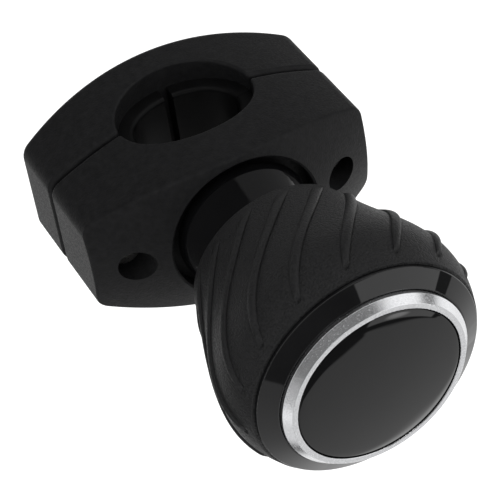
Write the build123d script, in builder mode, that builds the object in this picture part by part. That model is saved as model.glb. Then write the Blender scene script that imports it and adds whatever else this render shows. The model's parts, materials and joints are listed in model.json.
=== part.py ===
from build123d import *
from math import cos, radians, sin
import os

# A steering wheel spinner knob. A two-piece clamp grips the wheel's rim, and a ribbed knob spins on a fixed spindle.
# The origin is the middle of the rim bore. Z runs along the knob's axis towards the driver, Y runs along the rim,
# and X runs from one clamp screw to the other. Lengths are in millimetres and angles in degrees.

# Clearances
FACE_GAP = 0.1  # between pieces that are laid against each other
SLIDE_CLEARANCE = 0.03  # radial, between the spindle and what is threaded over it
SEAT_CLEARANCE = 0.01  # radial, around the outer races in their seats
SCREW_CLEARANCE = 0.2  # radial, around the shanks of the clamp screws
WELL_CLEARANCE = 0.36  # radial, around the heads of the clamp screws
NUT_CLEARANCE = 0.1  # on each flat of a nut or a hexagonal head
BALL_CLEARANCE = 0.04  # between a ball and its grooves
POCKET_CLEARANCE = 0.15  # between a ball and its pocket in the cage

# Rim bore and its rubber pads
BORE_HALF_X = 15.5
BORE_HALF_Z = 12.2
BORE_ROUND = 0.6
PAD_THICKNESS = 3.5
PAD_LENGTH = 26.6
PAD_SLOT = 2.0
PAD_ROUND = 1.0

# Clamp halves
CLAMP_HALF_LENGTH = 33.4
CLAMP_HALF_HEIGHT = 19.0
CLAMP_END_DROP = 8.0
FRONT_Z = 27.4
FRONT_QUARTER_DROP = 3.0
FRONT_END_DROP = 9.5
FRONT_CROWN_RADIUS = 47.8
BACK_Z = -20.4
BACK_END_RISE = 5.4
PARTING_GAP = 0.7
PARTING_ROUND = 1.1
CORNER_ROUND = 3.6
FRONT_ROUND = 0.8
BACK_ROUND = 2.0

# Recess in which the neck turns
RECESS_LAND = 1.8  # from the crown of the clamp's sides in to the recess
RECESS_FLOOR_Z = 19.6
RECESS_CHAMFER = 0.5

# Clamp screws, their spring washers and nuts
SCREW_INSET = 8.75  # from the ends of the clamp to the screws
SCREW_RADIUS = 2.0
SCREW_LENGTH = 25.0
SCREW_HEAD_RADIUS = 3.5
SCREW_HEAD_HEIGHT = 4.0
SCREW_HEAD_CHAMFER = 0.35
SCREW_HEAD_SEAT_Z = 11.9
SCREW_KEY_FLATS = 3.0
SCREW_KEY_DEPTH = 2.0
SPRING_WASHER_THICKNESS = 1.0
SPRING_WASHER_RADIUS = 3.6
SPRING_WASHER_SPLIT = 0.7
CLAMP_NUT_FLATS = 7.0
CLAMP_NUT_HEIGHT = 3.2
CLAMP_NUT_SEAT_Z = -9.6

# Spindle, a hexagonal bolt whose head is sunk in the wall of the rim bore
SPINDLE_RADIUS = 4.0
SPINDLE_LENGTH = 50.0
SPINDLE_HEAD_FLATS = 13.0
SPINDLE_HEAD_HEIGHT = 3.5
SPINDLE_HEAD_SEAT_Z = 16.1
SPINDLE_TIP_CHAMFER = 0.8
SHIM_RADIUS = 6.0
SHIM_THICKNESS = 1.0
LOCK_NUT_FLATS = 13.0
LOCK_NUT_BODY_HEIGHT = 5.6
LOCK_NUT_COLLAR_RADIUS = 5.8
LOCK_NUT_COLLAR_WALL = 0.8
LOCK_NUT_COLLAR_HEIGHT = 2.4
SPACER_RADIUS = 5.5

# Ball bearings
BEARING_RADIUS = 11.0
BEARING_WIDTH = 7.0
BEARING_SPREAD = 21.0
BALL_COUNT = 7
BALL_RADIUS = 1.98
PITCH_RADIUS = 7.5
INNER_RACE_RADIUS = 6.05
OUTER_RACE_BORE_RADIUS = 9.1
RACE_ROUND = 0.3
CAGE_THICKNESS = 1.0
CAGE_HEIGHT = 5.6

# Rubber grip
GRIP_REAR_Z = 36.9
GRIP_REAR_RADIUS = 19.2
GRIP_MID_Z = 49.0
GRIP_MID_SHARE = 0.45  # how much of the flare is reached there
GRIP_BELLY_Z = 64.5
GRIP_BELLY_RADIUS = 27.4
GRIP_FRONT_Z = 73.5
GRIP_FRONT_TUCK = 1.9  # from the belly in to the front edge
GRIP_THICKNESS = 2.6
GRIP_REAR_ROUND = 0.9
RIB_COUNT = 15
RIB_ROUND_RADIUS = 1.7
RIB_HEIGHT = 0.8
RIB_BURIAL = 0.2
RIB_PHASE = 91.5
RIB_LEAD = 1.14
RIB_LEAD_GROWTH = 0.0205
# Each station of a rib: how far along the grip it is, and how much of the rib's height shows there.
RIB_STATIONS = ((0.05, 0.0), (0.14, 0.75), (0.30, 1.0), (0.50, 1.0), (0.70, 1.0), (0.86, 0.95), (0.94, 0.0))

# Moulded knob core, whose rear end is the neck
NECK_BOTTOM_Z = 20.4
NECK_MIDDLE_Z = 26.5
NECK_CLEARANCE = 2.1  # radial, between the neck's middle and the recess
NECK_TAPER = 1.5  # from the neck's middle in to its lower end
CORE_WALL = 2.4
CORE_CAVITY_Z = 42.0
CORE_WEB_COUNT = 6
CORE_WEB_THICKNESS = 1.6
CORE_WEB_TOP_Z = 64.0
TUBE_WALL = 2.6
TUBE_RISE = 1.4
TUBE_BORE_RADIUS = 9.2
BOSS_RADIUS = 2.6

# Bezel, silver trim ring and domed cap
BEZEL_STEP = 0.5  # from the grip's front edge in to the bezel's edge
BEZEL_EDGE_Z = 74.4
BEZEL_EDGE_HEIGHT = 0.8
BEZEL_TOP_Z = 76.5
BEZEL_FACE_WIDTH = 4.05
BEZEL_FLANGE_LAND = 3.45  # from the circle of its screws in to the flange's edge
BEZEL_FLANGE_HEIGHT = 1.8
BEZEL_EDGE_ROUND = 0.25
BEZEL_INNER_ROUND = 0.3
TRIM_WIDTH = 2.6
TRIM_LAND = 1.2
TRIM_WALL_RISE = 0.65  # how far the ring's wall stands up from the bezel
TRIM_TOP_Z = 78.8
TRIM_DEPTH = 1.3
TRIM_SHELF = 1.7
TRIM_ROUND = 0.12
CAP_GAP = 0.2
CAP_RISE = 1.6
CAP_EDGE_DROP = 0.4
CAP_EDGE_ROUND = 0.7
CAP_THICKNESS = 1.8
CAP_SKIRT_WALL = 1.2
CAP_SKIRT_INSET = 0.2
CAP_LEG_COUNT = 3
CAP_LEG_WIDTH = 6.0
CAP_LEG_THICKNESS = 1.2
CAP_BARB = 0.8
CAP_BARB_TAPER = 20.0
BEZEL_SCREW_COUNT = 3
BEZEL_SCREW_RADIUS = 1.45
BEZEL_SCREW_LENGTH = 8.0
BEZEL_SCREW_HEAD_RADIUS = 2.2
BEZEL_SCREW_HEAD_HEIGHT = 1.6
BEZEL_SCREW_SLOT = 0.6
BEZEL_SCREW_SLOT_DEPTH = 0.7
BEZEL_SCREW_CLEARANCE = 0.15

# Heights and radii that follow from the sizes above
SIDES = (("left", -1), ("right", 1))
CLAMP_END_HEIGHT = CLAMP_HALF_HEIGHT - CLAMP_END_DROP
SCREW_X = CLAMP_HALF_LENGTH - SCREW_INSET
RECESS_RADIUS = CLAMP_HALF_HEIGHT - RECESS_LAND
NECK_MIDDLE_RADIUS = RECESS_RADIUS - NECK_CLEARANCE
NECK_BOTTOM_RADIUS = NECK_MIDDLE_RADIUS - NECK_TAPER
WELL_RADIUS = SCREW_HEAD_RADIUS + WELL_CLEARANCE
WELL_FLOOR_Z = SCREW_HEAD_SEAT_Z - SPRING_WASHER_THICKNESS
LOWER_BEARING_Z = RECESS_FLOOR_Z + SHIM_THICKNESS
UPPER_BEARING_Z = LOWER_BEARING_Z + BEARING_WIDTH + BEARING_SPREAD
BEARING_TOP_Z = UPPER_BEARING_Z + BEARING_WIDTH
LOCK_NUT_Z = BEARING_TOP_Z + SHIM_THICKNESS
TUBE_RADIUS = BEARING_RADIUS + TUBE_WALL
TUBE_TOP_Z = BEARING_TOP_Z + TUBE_RISE
GRIP_FRONT_RADIUS = GRIP_BELLY_RADIUS - GRIP_FRONT_TUCK
GRIP_MID_RADIUS = GRIP_REAR_RADIUS + GRIP_MID_SHARE * (GRIP_BELLY_RADIUS - GRIP_REAR_RADIUS)
BEZEL_RADIUS = GRIP_FRONT_RADIUS - BEZEL_STEP
TRIM_RADIUS = BEZEL_RADIUS - BEZEL_FACE_WIDTH
TRIM_INNER_RADIUS = TRIM_RADIUS - TRIM_WIDTH
BEZEL_RIM_Z = BEZEL_EDGE_Z - BEZEL_EDGE_HEIGHT
FLANGE_TOP_Z = BEZEL_RIM_Z
CORE_FRONT_Z = FLANGE_TOP_Z - BEZEL_FLANGE_HEIGHT
CAP_RADIUS = TRIM_INNER_RADIUS - CAP_GAP
SKIRT_RADIUS = CAP_RADIUS - CAP_SKIRT_INSET
BOSS_CIRCLE_RADIUS = SKIRT_RADIUS - CAP_SKIRT_WALL - FACE_GAP - BEZEL_SCREW_HEAD_RADIUS
BEZEL_FLANGE_RADIUS = BOSS_CIRCLE_RADIUS - BEZEL_FLANGE_LAND

os.makedirs("parts", exist_ok=True)


def hexagon(flats):
    """A hexagon of this width across its flats, with two of its corners on the X axis."""
    return RegularPolygon(radius=flats / 2, side_count=6, major_radius=False)


def clamp_outline():
    """The clamp as it is seen along the knob's axis: crowned above and below, flat at its two ends."""
    with BuildSketch() as outline:
        with BuildLine():
            ThreePointArc(
                (-CLAMP_HALF_LENGTH, CLAMP_END_HEIGHT), (0, CLAMP_HALF_HEIGHT), (CLAMP_HALF_LENGTH, CLAMP_END_HEIGHT)
            )
            Line((CLAMP_HALF_LENGTH, CLAMP_END_HEIGHT), (CLAMP_HALF_LENGTH, -CLAMP_END_HEIGHT))
            ThreePointArc(
                (CLAMP_HALF_LENGTH, -CLAMP_END_HEIGHT), (0, -CLAMP_HALF_HEIGHT), (-CLAMP_HALF_LENGTH, -CLAMP_END_HEIGHT)
            )
            Line((-CLAMP_HALF_LENGTH, -CLAMP_END_HEIGHT), (-CLAMP_HALF_LENGTH, CLAMP_END_HEIGHT))
        make_face()
    return outline.sketch


def at_bore_mouth(edge):
    """Whether an edge arches over the bore on the clamp's upper or lower side."""
    return abs(edge.center().Y) > CLAMP_END_HEIGHT and abs(edge.center().Z) > PARTING_GAP


def at_parting_rim(edge):
    """Whether an edge runs around the outside of a half where the two halves face each other."""
    off_plane = max(abs(abs(edge.position_at(along).Z) - PARTING_GAP / 2) for along in (0, 0.5, 1))
    return off_plane < SLIDE_CLEARANCE and abs(edge.center().X) > BORE_HALF_X + BORE_ROUND


def make_clamp_base():
    """The front half of the clamp. Its front face is crowned both ways and holds the recess and the screw wells."""
    crown_axis_z = FRONT_Z - FRONT_CROWN_RADIUS
    half = CLAMP_HALF_LENGTH
    with BuildPart() as clamp_base:
        with BuildSketch(Plane.XZ):
            with BuildLine():
                Spline(
                    (-half, FRONT_Z - FRONT_END_DROP),
                    (-half / 2, FRONT_Z - FRONT_QUARTER_DROP),
                    (0, FRONT_Z),
                    (half / 2, FRONT_Z - FRONT_QUARTER_DROP),
                    (half, FRONT_Z - FRONT_END_DROP),
                )
                Polyline(
                    (half, FRONT_Z - FRONT_END_DROP), (half, crown_axis_z), (-half, crown_axis_z),
                    (-half, FRONT_Z - FRONT_END_DROP),
                )
            make_face()
        revolve(axis=Axis((0, 0, crown_axis_z), (1, 0, 0)))
        with BuildSketch(Plane.XY.offset(PARTING_GAP / 2)):
            add(clamp_outline())
        extrude(amount=FRONT_Z, mode=Mode.INTERSECT)
        fillet(clamp_base.edges().filter_by(Axis.Z), radius=CORNER_ROUND)
        fillet(clamp_base.faces().sort_by(Axis.Z)[-1].edges(), radius=FRONT_ROUND)

        # Rim bore, with a rounded mouth on each side
        with BuildSketch(Plane.XZ):
            Ellipse(BORE_HALF_X, BORE_HALF_Z)
        extrude(amount=2 * CLAMP_HALF_HEIGHT, both=True, mode=Mode.SUBTRACT)
        fillet(clamp_base.edges(Select.LAST).filter_by(at_bore_mouth), radius=BORE_ROUND)
        fillet(clamp_base.edges().filter_by(at_parting_rim), radius=PARTING_ROUND)

        # Recess for the neck, and the spindle's hole with its hexagonal pocket on the bore side
        with BuildSketch(Plane.XY.offset(RECESS_FLOOR_Z)):
            Circle(RECESS_RADIUS)
        extrude(amount=FRONT_Z, mode=Mode.SUBTRACT)
        rim = clamp_base.edges(Select.LAST).group_by(Axis.Z)[-1]
        chamfer(rim, length=RECESS_CHAMFER)
        with BuildSketch(Plane.XY):
            Circle(SPINDLE_RADIUS + SLIDE_CLEARANCE)
        extrude(amount=FRONT_Z, mode=Mode.SUBTRACT)
        with BuildSketch(Plane.XY):
            hexagon(SPINDLE_HEAD_FLATS + 2 * NUT_CLEARANCE)
        extrude(amount=SPINDLE_HEAD_SEAT_Z, mode=Mode.SUBTRACT)

        # Screw holes, with deep round wells for the heads
        with BuildSketch(Plane.XY.offset(WELL_FLOOR_Z)):
            with Locations((-SCREW_X, 0), (SCREW_X, 0)):
                Circle(WELL_RADIUS)
        extrude(amount=FRONT_Z, mode=Mode.SUBTRACT)
        with BuildSketch(Plane.XY):
            with Locations((-SCREW_X, 0), (SCREW_X, 0)):
                Circle(SCREW_RADIUS + SCREW_CLEARANCE)
        extrude(amount=FRONT_Z, mode=Mode.SUBTRACT)
    clamp_base.part.label = "clamp_base"
    export_step(clamp_base.part, "parts/clamp_base.step")


def make_clamp_cap():
    """The rear half of the clamp, with an arched back and a pocket for each nut."""
    half = CLAMP_HALF_LENGTH
    with BuildPart() as clamp_cap:
        with BuildSketch(Plane.XZ):
            with BuildLine():
                ThreePointArc((-half, BACK_Z + BACK_END_RISE), (0, BACK_Z), (half, BACK_Z + BACK_END_RISE))
                Polyline(
                    (half, BACK_Z + BACK_END_RISE), (half, -PARTING_GAP / 2), (-half, -PARTING_GAP / 2),
                    (-half, BACK_Z + BACK_END_RISE),
                )
            make_face()
        extrude(amount=2 * CLAMP_HALF_HEIGHT, both=True)
        with BuildSketch(Plane.XY.offset(-PARTING_GAP / 2)):
            add(clamp_outline())
        extrude(amount=BACK_Z, mode=Mode.INTERSECT)
        fillet(clamp_cap.edges().filter_by(Axis.Z), radius=CORNER_ROUND)
        fillet(clamp_cap.faces().sort_by(Axis.Z)[0].edges(), radius=BACK_ROUND)

        with BuildSketch(Plane.XZ):
            Ellipse(BORE_HALF_X, BORE_HALF_Z)
        extrude(amount=2 * CLAMP_HALF_HEIGHT, both=True, mode=Mode.SUBTRACT)
        fillet(clamp_cap.edges(Select.LAST).filter_by(at_bore_mouth), radius=BORE_ROUND)
        fillet(clamp_cap.edges().filter_by(at_parting_rim), radius=PARTING_ROUND)

        with BuildSketch(Plane.XY):
            with Locations((-SCREW_X, 0), (SCREW_X, 0)):
                Circle(SCREW_RADIUS + SCREW_CLEARANCE)
        extrude(amount=BACK_Z, mode=Mode.SUBTRACT)
        with BuildSketch(Plane.XY.offset(CLAMP_NUT_SEAT_Z)):
            with Locations((-SCREW_X, 0), (SCREW_X, 0)):
                hexagon(CLAMP_NUT_FLATS + 2 * NUT_CLEARANCE)
        extrude(amount=BACK_Z, mode=Mode.SUBTRACT)
    clamp_cap.part.label = "clamp_cap"
    export_step(clamp_cap.part, "parts/clamp_cap.step")


def make_rim_pad(name, side, towards_front):
    """One quarter of the rubber lining. Pads meet at the parting plane and leave a slot on the knob's axis."""
    inner_x = BORE_HALF_X - PAD_THICKNESS
    inner_z = BORE_HALF_Z - PAD_THICKNESS
    with BuildPart() as rim_pad:
        with BuildSketch(Plane.XZ):
            Ellipse(BORE_HALF_X, BORE_HALF_Z)
            Ellipse(inner_x, inner_z, mode=Mode.SUBTRACT)
            with Locations((side * PAD_SLOT / 2, towards_front * FACE_GAP / 2)):
                Rectangle(
                    BORE_HALF_X,
                    BORE_HALF_Z,
                    align=(Align.MIN if side > 0 else Align.MAX, Align.MIN if towards_front > 0 else Align.MAX),
                    mode=Mode.INTERSECT,
                )
        extrude(amount=PAD_LENGTH / 2, both=True)
        arches = rim_pad.edges().filter_by(GeomType.ELLIPSE).sort_by(SortBy.LENGTH)
        fillet(arches[:2], radius=PAD_ROUND)
    rim_pad.part.label = name
    export_step(rim_pad.part, f"parts/{name}.step")


def make_clamp_screw(name, side):
    """A socket head screw, let down its well on a spring washer."""
    head_top_z = SCREW_HEAD_SEAT_Z + SCREW_HEAD_HEIGHT
    with BuildPart() as clamp_screw:
        with BuildSketch(Plane.XY.offset(SCREW_HEAD_SEAT_Z)):
            with Locations((side * SCREW_X, 0)):
                Circle(SCREW_HEAD_RADIUS)
        extrude(amount=SCREW_HEAD_HEIGHT)
        chamfer(clamp_screw.edges().sort_by(Axis.Z)[-1], length=SCREW_HEAD_CHAMFER)
        with BuildSketch(Plane.XY.offset(SCREW_HEAD_SEAT_Z)):
            with Locations((side * SCREW_X, 0)):
                Circle(SCREW_RADIUS)
        extrude(amount=-SCREW_LENGTH)
        with BuildSketch(Plane.XY.offset(head_top_z)):
            with Locations((side * SCREW_X, 0)):
                hexagon(SCREW_KEY_FLATS)
        extrude(amount=-SCREW_KEY_DEPTH, mode=Mode.SUBTRACT)
    clamp_screw.part.label = name
    export_step(clamp_screw.part, f"parts/{name}.step")


def make_spring_washer(name, side):
    """A split ring under the head of a clamp screw."""
    with BuildPart() as spring_washer:
        with BuildSketch(Plane.XY.offset(WELL_FLOOR_Z)):
            with Locations((side * SCREW_X, 0)):
                Circle(SPRING_WASHER_RADIUS)
                Circle(SCREW_RADIUS + SLIDE_CLEARANCE, mode=Mode.SUBTRACT)
            with Locations((side * SCREW_X + side * SPRING_WASHER_RADIUS / 2, 0)):
                Rectangle(SPRING_WASHER_RADIUS, SPRING_WASHER_SPLIT, mode=Mode.SUBTRACT)
        extrude(amount=SPRING_WASHER_THICKNESS)
    spring_washer.part.label = name
    export_step(spring_washer.part, f"parts/{name}.step")


def make_clamp_nut(name, side):
    """A hexagonal nut, held from turning by its pocket in the rear half."""
    with BuildPart() as clamp_nut:
        with BuildSketch(Plane.XY.offset(CLAMP_NUT_SEAT_Z)):
            with Locations((side * SCREW_X, 0)):
                hexagon(CLAMP_NUT_FLATS)
                Circle(SCREW_RADIUS + SLIDE_CLEARANCE, mode=Mode.SUBTRACT)
        extrude(amount=-CLAMP_NUT_HEIGHT)
    clamp_nut.part.label = name
    export_step(clamp_nut.part, f"parts/{name}.step")


def make_spindle():
    """The bolt that the knob turns on. Its thin head is held from turning by the hexagonal pocket."""
    with BuildPart() as spindle:
        with BuildSketch(Plane.XY.offset(SPINDLE_HEAD_SEAT_Z)):
            hexagon(SPINDLE_HEAD_FLATS)
        extrude(amount=-SPINDLE_HEAD_HEIGHT)
        with BuildSketch(Plane.XY.offset(SPINDLE_HEAD_SEAT_Z)):
            Circle(SPINDLE_RADIUS)
        extrude(amount=SPINDLE_LENGTH)
        chamfer(spindle.edges().sort_by(Axis.Z)[-1], length=SPINDLE_TIP_CHAMFER)
    spindle.part.label = "spindle"
    export_step(spindle.part, "parts/spindle.step")


def make_tube(name, bottom_z, height, radius):
    """A plain ring threaded over the spindle: a shim or the spacer between the inner races."""
    with BuildPart() as ring:
        with BuildSketch(Plane.XY.offset(bottom_z)):
            Circle(radius)
            Circle(SPINDLE_RADIUS + SLIDE_CLEARANCE, mode=Mode.SUBTRACT)
        extrude(amount=height)
    ring.part.label = name
    export_step(ring.part, f"parts/{name}.step")


def make_lock_nut():
    """The nut that holds the bearings on the spindle, with a round collar for its nylon ring."""
    with BuildPart() as lock_nut:
        with BuildSketch(Plane.XY.offset(LOCK_NUT_Z)):
            hexagon(LOCK_NUT_FLATS)
        extrude(amount=LOCK_NUT_BODY_HEIGHT)
        with BuildSketch(Plane.XY.offset(LOCK_NUT_Z + LOCK_NUT_BODY_HEIGHT)):
            Circle(LOCK_NUT_COLLAR_RADIUS)
        extrude(amount=LOCK_NUT_COLLAR_HEIGHT)
        with BuildSketch(Plane.XY.offset(LOCK_NUT_Z + LOCK_NUT_BODY_HEIGHT)):
            Circle(LOCK_NUT_COLLAR_RADIUS - LOCK_NUT_COLLAR_WALL)
        extrude(amount=LOCK_NUT_COLLAR_HEIGHT, mode=Mode.SUBTRACT)
        with BuildSketch(Plane.XY.offset(LOCK_NUT_Z)):
            Circle(SPINDLE_RADIUS + SLIDE_CLEARANCE)
        extrude(amount=LOCK_NUT_BODY_HEIGHT, mode=Mode.SUBTRACT)
    lock_nut.part.label = "lock_nut"
    export_step(lock_nut.part, "parts/lock_nut.step")


def make_nylon_ring():
    """The ring in the collar of the lock nut that grips the spindle's thread."""
    with BuildPart() as nylon_ring:
        with BuildSketch(Plane.XY.offset(LOCK_NUT_Z + LOCK_NUT_BODY_HEIGHT)):
            Circle(LOCK_NUT_COLLAR_RADIUS - LOCK_NUT_COLLAR_WALL)
            Circle(SPINDLE_RADIUS + SLIDE_CLEARANCE, mode=Mode.SUBTRACT)
        extrude(amount=LOCK_NUT_COLLAR_HEIGHT - FACE_GAP)
    nylon_ring.part.label = "nylon_ring"
    export_step(nylon_ring.part, "parts/nylon_ring.step")


def race_section(inner_radius, outer_radius, bottom_z):
    """Half the section of a race, with the groove that its balls run in."""
    middle_z = bottom_z + BEARING_WIDTH / 2
    with BuildSketch(Plane.XZ) as section:
        with Locations((inner_radius, bottom_z)):
            Rectangle(outer_radius - inner_radius, BEARING_WIDTH, align=(Align.MIN, Align.MIN))
        fillet(section.vertices(), radius=RACE_ROUND)
        with Locations((PITCH_RADIUS, middle_z)):
            Circle(BALL_RADIUS + BALL_CLEARANCE, mode=Mode.SUBTRACT)
    return section.sketch


def make_race(name, inner_radius, outer_radius, bottom_z):
    """A turned steel race."""
    with BuildPart() as race:
        add(race_section(inner_radius, outer_radius, bottom_z))
        revolve(axis=Axis.Z)
    race.part.label = name
    export_step(race.part, f"parts/{name}.step")


def make_balls(name, bottom_z):
    """The set of balls of one bearing."""
    with BuildPart() as balls:
        with Locations((0, 0, bottom_z + BEARING_WIDTH / 2)):
            with PolarLocations(PITCH_RADIUS, BALL_COUNT):
                Sphere(BALL_RADIUS)
    balls.part.label = name
    export_step(balls.part, f"parts/{name}.step")


def make_cage(name, bottom_z):
    """The ring that keeps the balls of one bearing apart, with a round pocket for each."""
    middle_z = bottom_z + BEARING_WIDTH / 2
    with BuildPart() as cage:
        with BuildSketch(Plane.XY.offset(middle_z - CAGE_HEIGHT / 2)):
            Circle(PITCH_RADIUS + CAGE_THICKNESS / 2)
            Circle(PITCH_RADIUS - CAGE_THICKNESS / 2, mode=Mode.SUBTRACT)
        extrude(amount=CAGE_HEIGHT)
        with Locations((0, 0, middle_z)):
            with PolarLocations(PITCH_RADIUS, BALL_COUNT):
                Cylinder(BALL_RADIUS + POCKET_CLEARANCE, 2 * CAGE_THICKNESS, rotation=(0, 90, 0), mode=Mode.SUBTRACT)
    cage.part.label = name
    export_step(cage.part, f"parts/{name}.step")


def grip_line(inset):
    """The grip's flared outline from rear to front, as a curve of radius and height, moved inwards by the inset."""
    with BuildLine() as line:
        Spline(
            (GRIP_REAR_RADIUS - inset, GRIP_REAR_Z),
            (GRIP_MID_RADIUS - inset, GRIP_MID_Z),
            (GRIP_BELLY_RADIUS - inset, GRIP_BELLY_Z),
            (GRIP_FRONT_RADIUS - inset, GRIP_FRONT_Z),
        )
    return line.line


def rib_path():
    """The line that a rib's round section follows. It winds around the knob faster near the rear."""
    outline = grip_line(0)
    points = []
    for along, showing in RIB_STATIONS:
        place = outline @ along
        ahead = (outline @ RIB_STATIONS[-1][0]).Y - place.Y
        angle = radians(RIB_PHASE - RIB_LEAD * ahead - RIB_LEAD_GROWTH * ahead**2)
        sink = RIB_ROUND_RADIUS + RIB_BURIAL - showing * (RIB_HEIGHT + RIB_BURIAL)
        reach = place.X - sink
        points.append((reach * cos(angle), reach * sin(angle), place.Y))
    with BuildLine() as path:
        Spline(*points)
    return path.line


def make_grip():
    """The rubber sleeve of the knob, with curved half-round ribs raised on it."""
    path = rib_path()
    outer_line = grip_line(0)
    inner_line = grip_line(GRIP_THICKNESS)
    with BuildPart() as rib:
        with BuildSketch(Plane(origin=path @ 0, z_dir=path % 0)):
            Circle(RIB_ROUND_RADIUS)
        sweep(path=path)
    with BuildPart() as grip:
        with BuildSketch(Plane.XZ):
            with BuildLine():
                add(outer_line)
                Polyline(
                    (GRIP_FRONT_RADIUS, GRIP_FRONT_Z), (0, GRIP_FRONT_Z), (0, GRIP_REAR_Z),
                    (GRIP_REAR_RADIUS, GRIP_REAR_Z),
                )
            make_face()
        revolve(axis=Axis.Z)
        fillet(grip.edges().group_by(Axis.Z)[0], radius=GRIP_REAR_ROUND)
        with PolarLocations(0, RIB_COUNT):
            add(rib.part)
        with BuildSketch(Plane.XZ):
            with BuildLine():
                add(inner_line)
                Polyline(
                    (GRIP_FRONT_RADIUS - GRIP_THICKNESS, GRIP_FRONT_Z), (0, GRIP_FRONT_Z), (0, GRIP_REAR_Z),
                    (GRIP_REAR_RADIUS - GRIP_THICKNESS, GRIP_REAR_Z),
                )
            make_face()
        revolve(axis=Axis.Z, mode=Mode.SUBTRACT)
    grip.part.label = "grip"
    export_step(grip.part, "parts/grip.step")


def make_knob_core():
    """The glossy moulding inside the grip: the neck, the bearing tube, a thin shell and webs between them."""
    core_top_radius = GRIP_FRONT_RADIUS - GRIP_THICKNESS - FACE_GAP
    neck_top_radius = GRIP_REAR_RADIUS - GRIP_THICKNESS - FACE_GAP
    shoulder_z = LOWER_BEARING_Z + BEARING_WIDTH
    seat_radius = BEARING_RADIUS + SEAT_CLEARANCE
    outer_line = grip_line(GRIP_THICKNESS + FACE_GAP)
    inner_line = grip_line(GRIP_THICKNESS + CORE_WALL)

    # The open space around the bearing tube. Webs and the bosses for the bezel's screws stand in it.
    with BuildPart() as cavity:
        with BuildSketch(Plane.XZ):
            with BuildLine():
                add(inner_line)
                Polyline(inner_line @ 1, (0, GRIP_FRONT_Z), (0, GRIP_REAR_Z), inner_line @ 0)
            make_face()
            with Locations((0, CORE_CAVITY_Z)):
                Rectangle(2 * GRIP_BELLY_RADIUS, GRIP_FRONT_Z, align=(Align.CENTER, Align.MIN), mode=Mode.INTERSECT)
            Rectangle(2 * TUBE_RADIUS, 2 * TUBE_TOP_Z, mode=Mode.SUBTRACT)
        revolve(axis=Axis.Z)
        with BuildSketch(Plane.XY.offset(CORE_CAVITY_Z)):
            with PolarLocations(0, CORE_WEB_COUNT, start_angle=180 / CORE_WEB_COUNT):
                Rectangle(GRIP_BELLY_RADIUS, CORE_WEB_THICKNESS, align=(Align.MIN, Align.CENTER))
        extrude(amount=CORE_WEB_TOP_Z - CORE_CAVITY_Z, mode=Mode.SUBTRACT)
        with BuildSketch(Plane.XY.offset(CORE_CAVITY_Z)):
            with PolarLocations(BOSS_CIRCLE_RADIUS, BEZEL_SCREW_COUNT):
                Circle(BOSS_RADIUS)
        extrude(amount=CORE_FRONT_Z - CORE_CAVITY_Z, mode=Mode.SUBTRACT)

    with BuildPart() as knob_core:
        with BuildSketch(Plane.XZ):
            with BuildLine():
                ThreePointArc(
                    (NECK_BOTTOM_RADIUS, NECK_BOTTOM_Z), (NECK_MIDDLE_RADIUS, NECK_MIDDLE_Z),
                    (neck_top_radius, GRIP_REAR_Z),
                )
                add(outer_line)
                Polyline(
                    (core_top_radius, GRIP_FRONT_Z), (0, GRIP_FRONT_Z), (0, NECK_BOTTOM_Z),
                    (NECK_BOTTOM_RADIUS, NECK_BOTTOM_Z),
                )
            make_face()
        revolve(axis=Axis.Z)
        with BuildSketch(Plane.XY.offset(CORE_FRONT_Z)):
            Circle(GRIP_BELLY_RADIUS)
        extrude(amount=GRIP_FRONT_Z, mode=Mode.SUBTRACT)

        add(cavity.part, mode=Mode.SUBTRACT)
        with BuildSketch(Plane.XY.offset(CORE_FRONT_Z)):
            with PolarLocations(BOSS_CIRCLE_RADIUS, BEZEL_SCREW_COUNT):
                Circle(BEZEL_SCREW_RADIUS)
        extrude(amount=-BEZEL_SCREW_LENGTH, mode=Mode.SUBTRACT)

        # Bore of the tube, with a seat for a bearing at each end
        with BuildSketch(Plane.XY):
            Circle(TUBE_BORE_RADIUS)
        extrude(amount=GRIP_FRONT_Z, mode=Mode.SUBTRACT)
        with BuildSketch(Plane.XY):
            Circle(seat_radius)
        extrude(amount=shoulder_z, mode=Mode.SUBTRACT)
        with BuildSketch(Plane.XY.offset(UPPER_BEARING_Z)):
            Circle(seat_radius)
        extrude(amount=GRIP_FRONT_Z, mode=Mode.SUBTRACT)
    knob_core.part.label = "knob_core"
    export_step(knob_core.part, "parts/knob_core.step")


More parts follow.
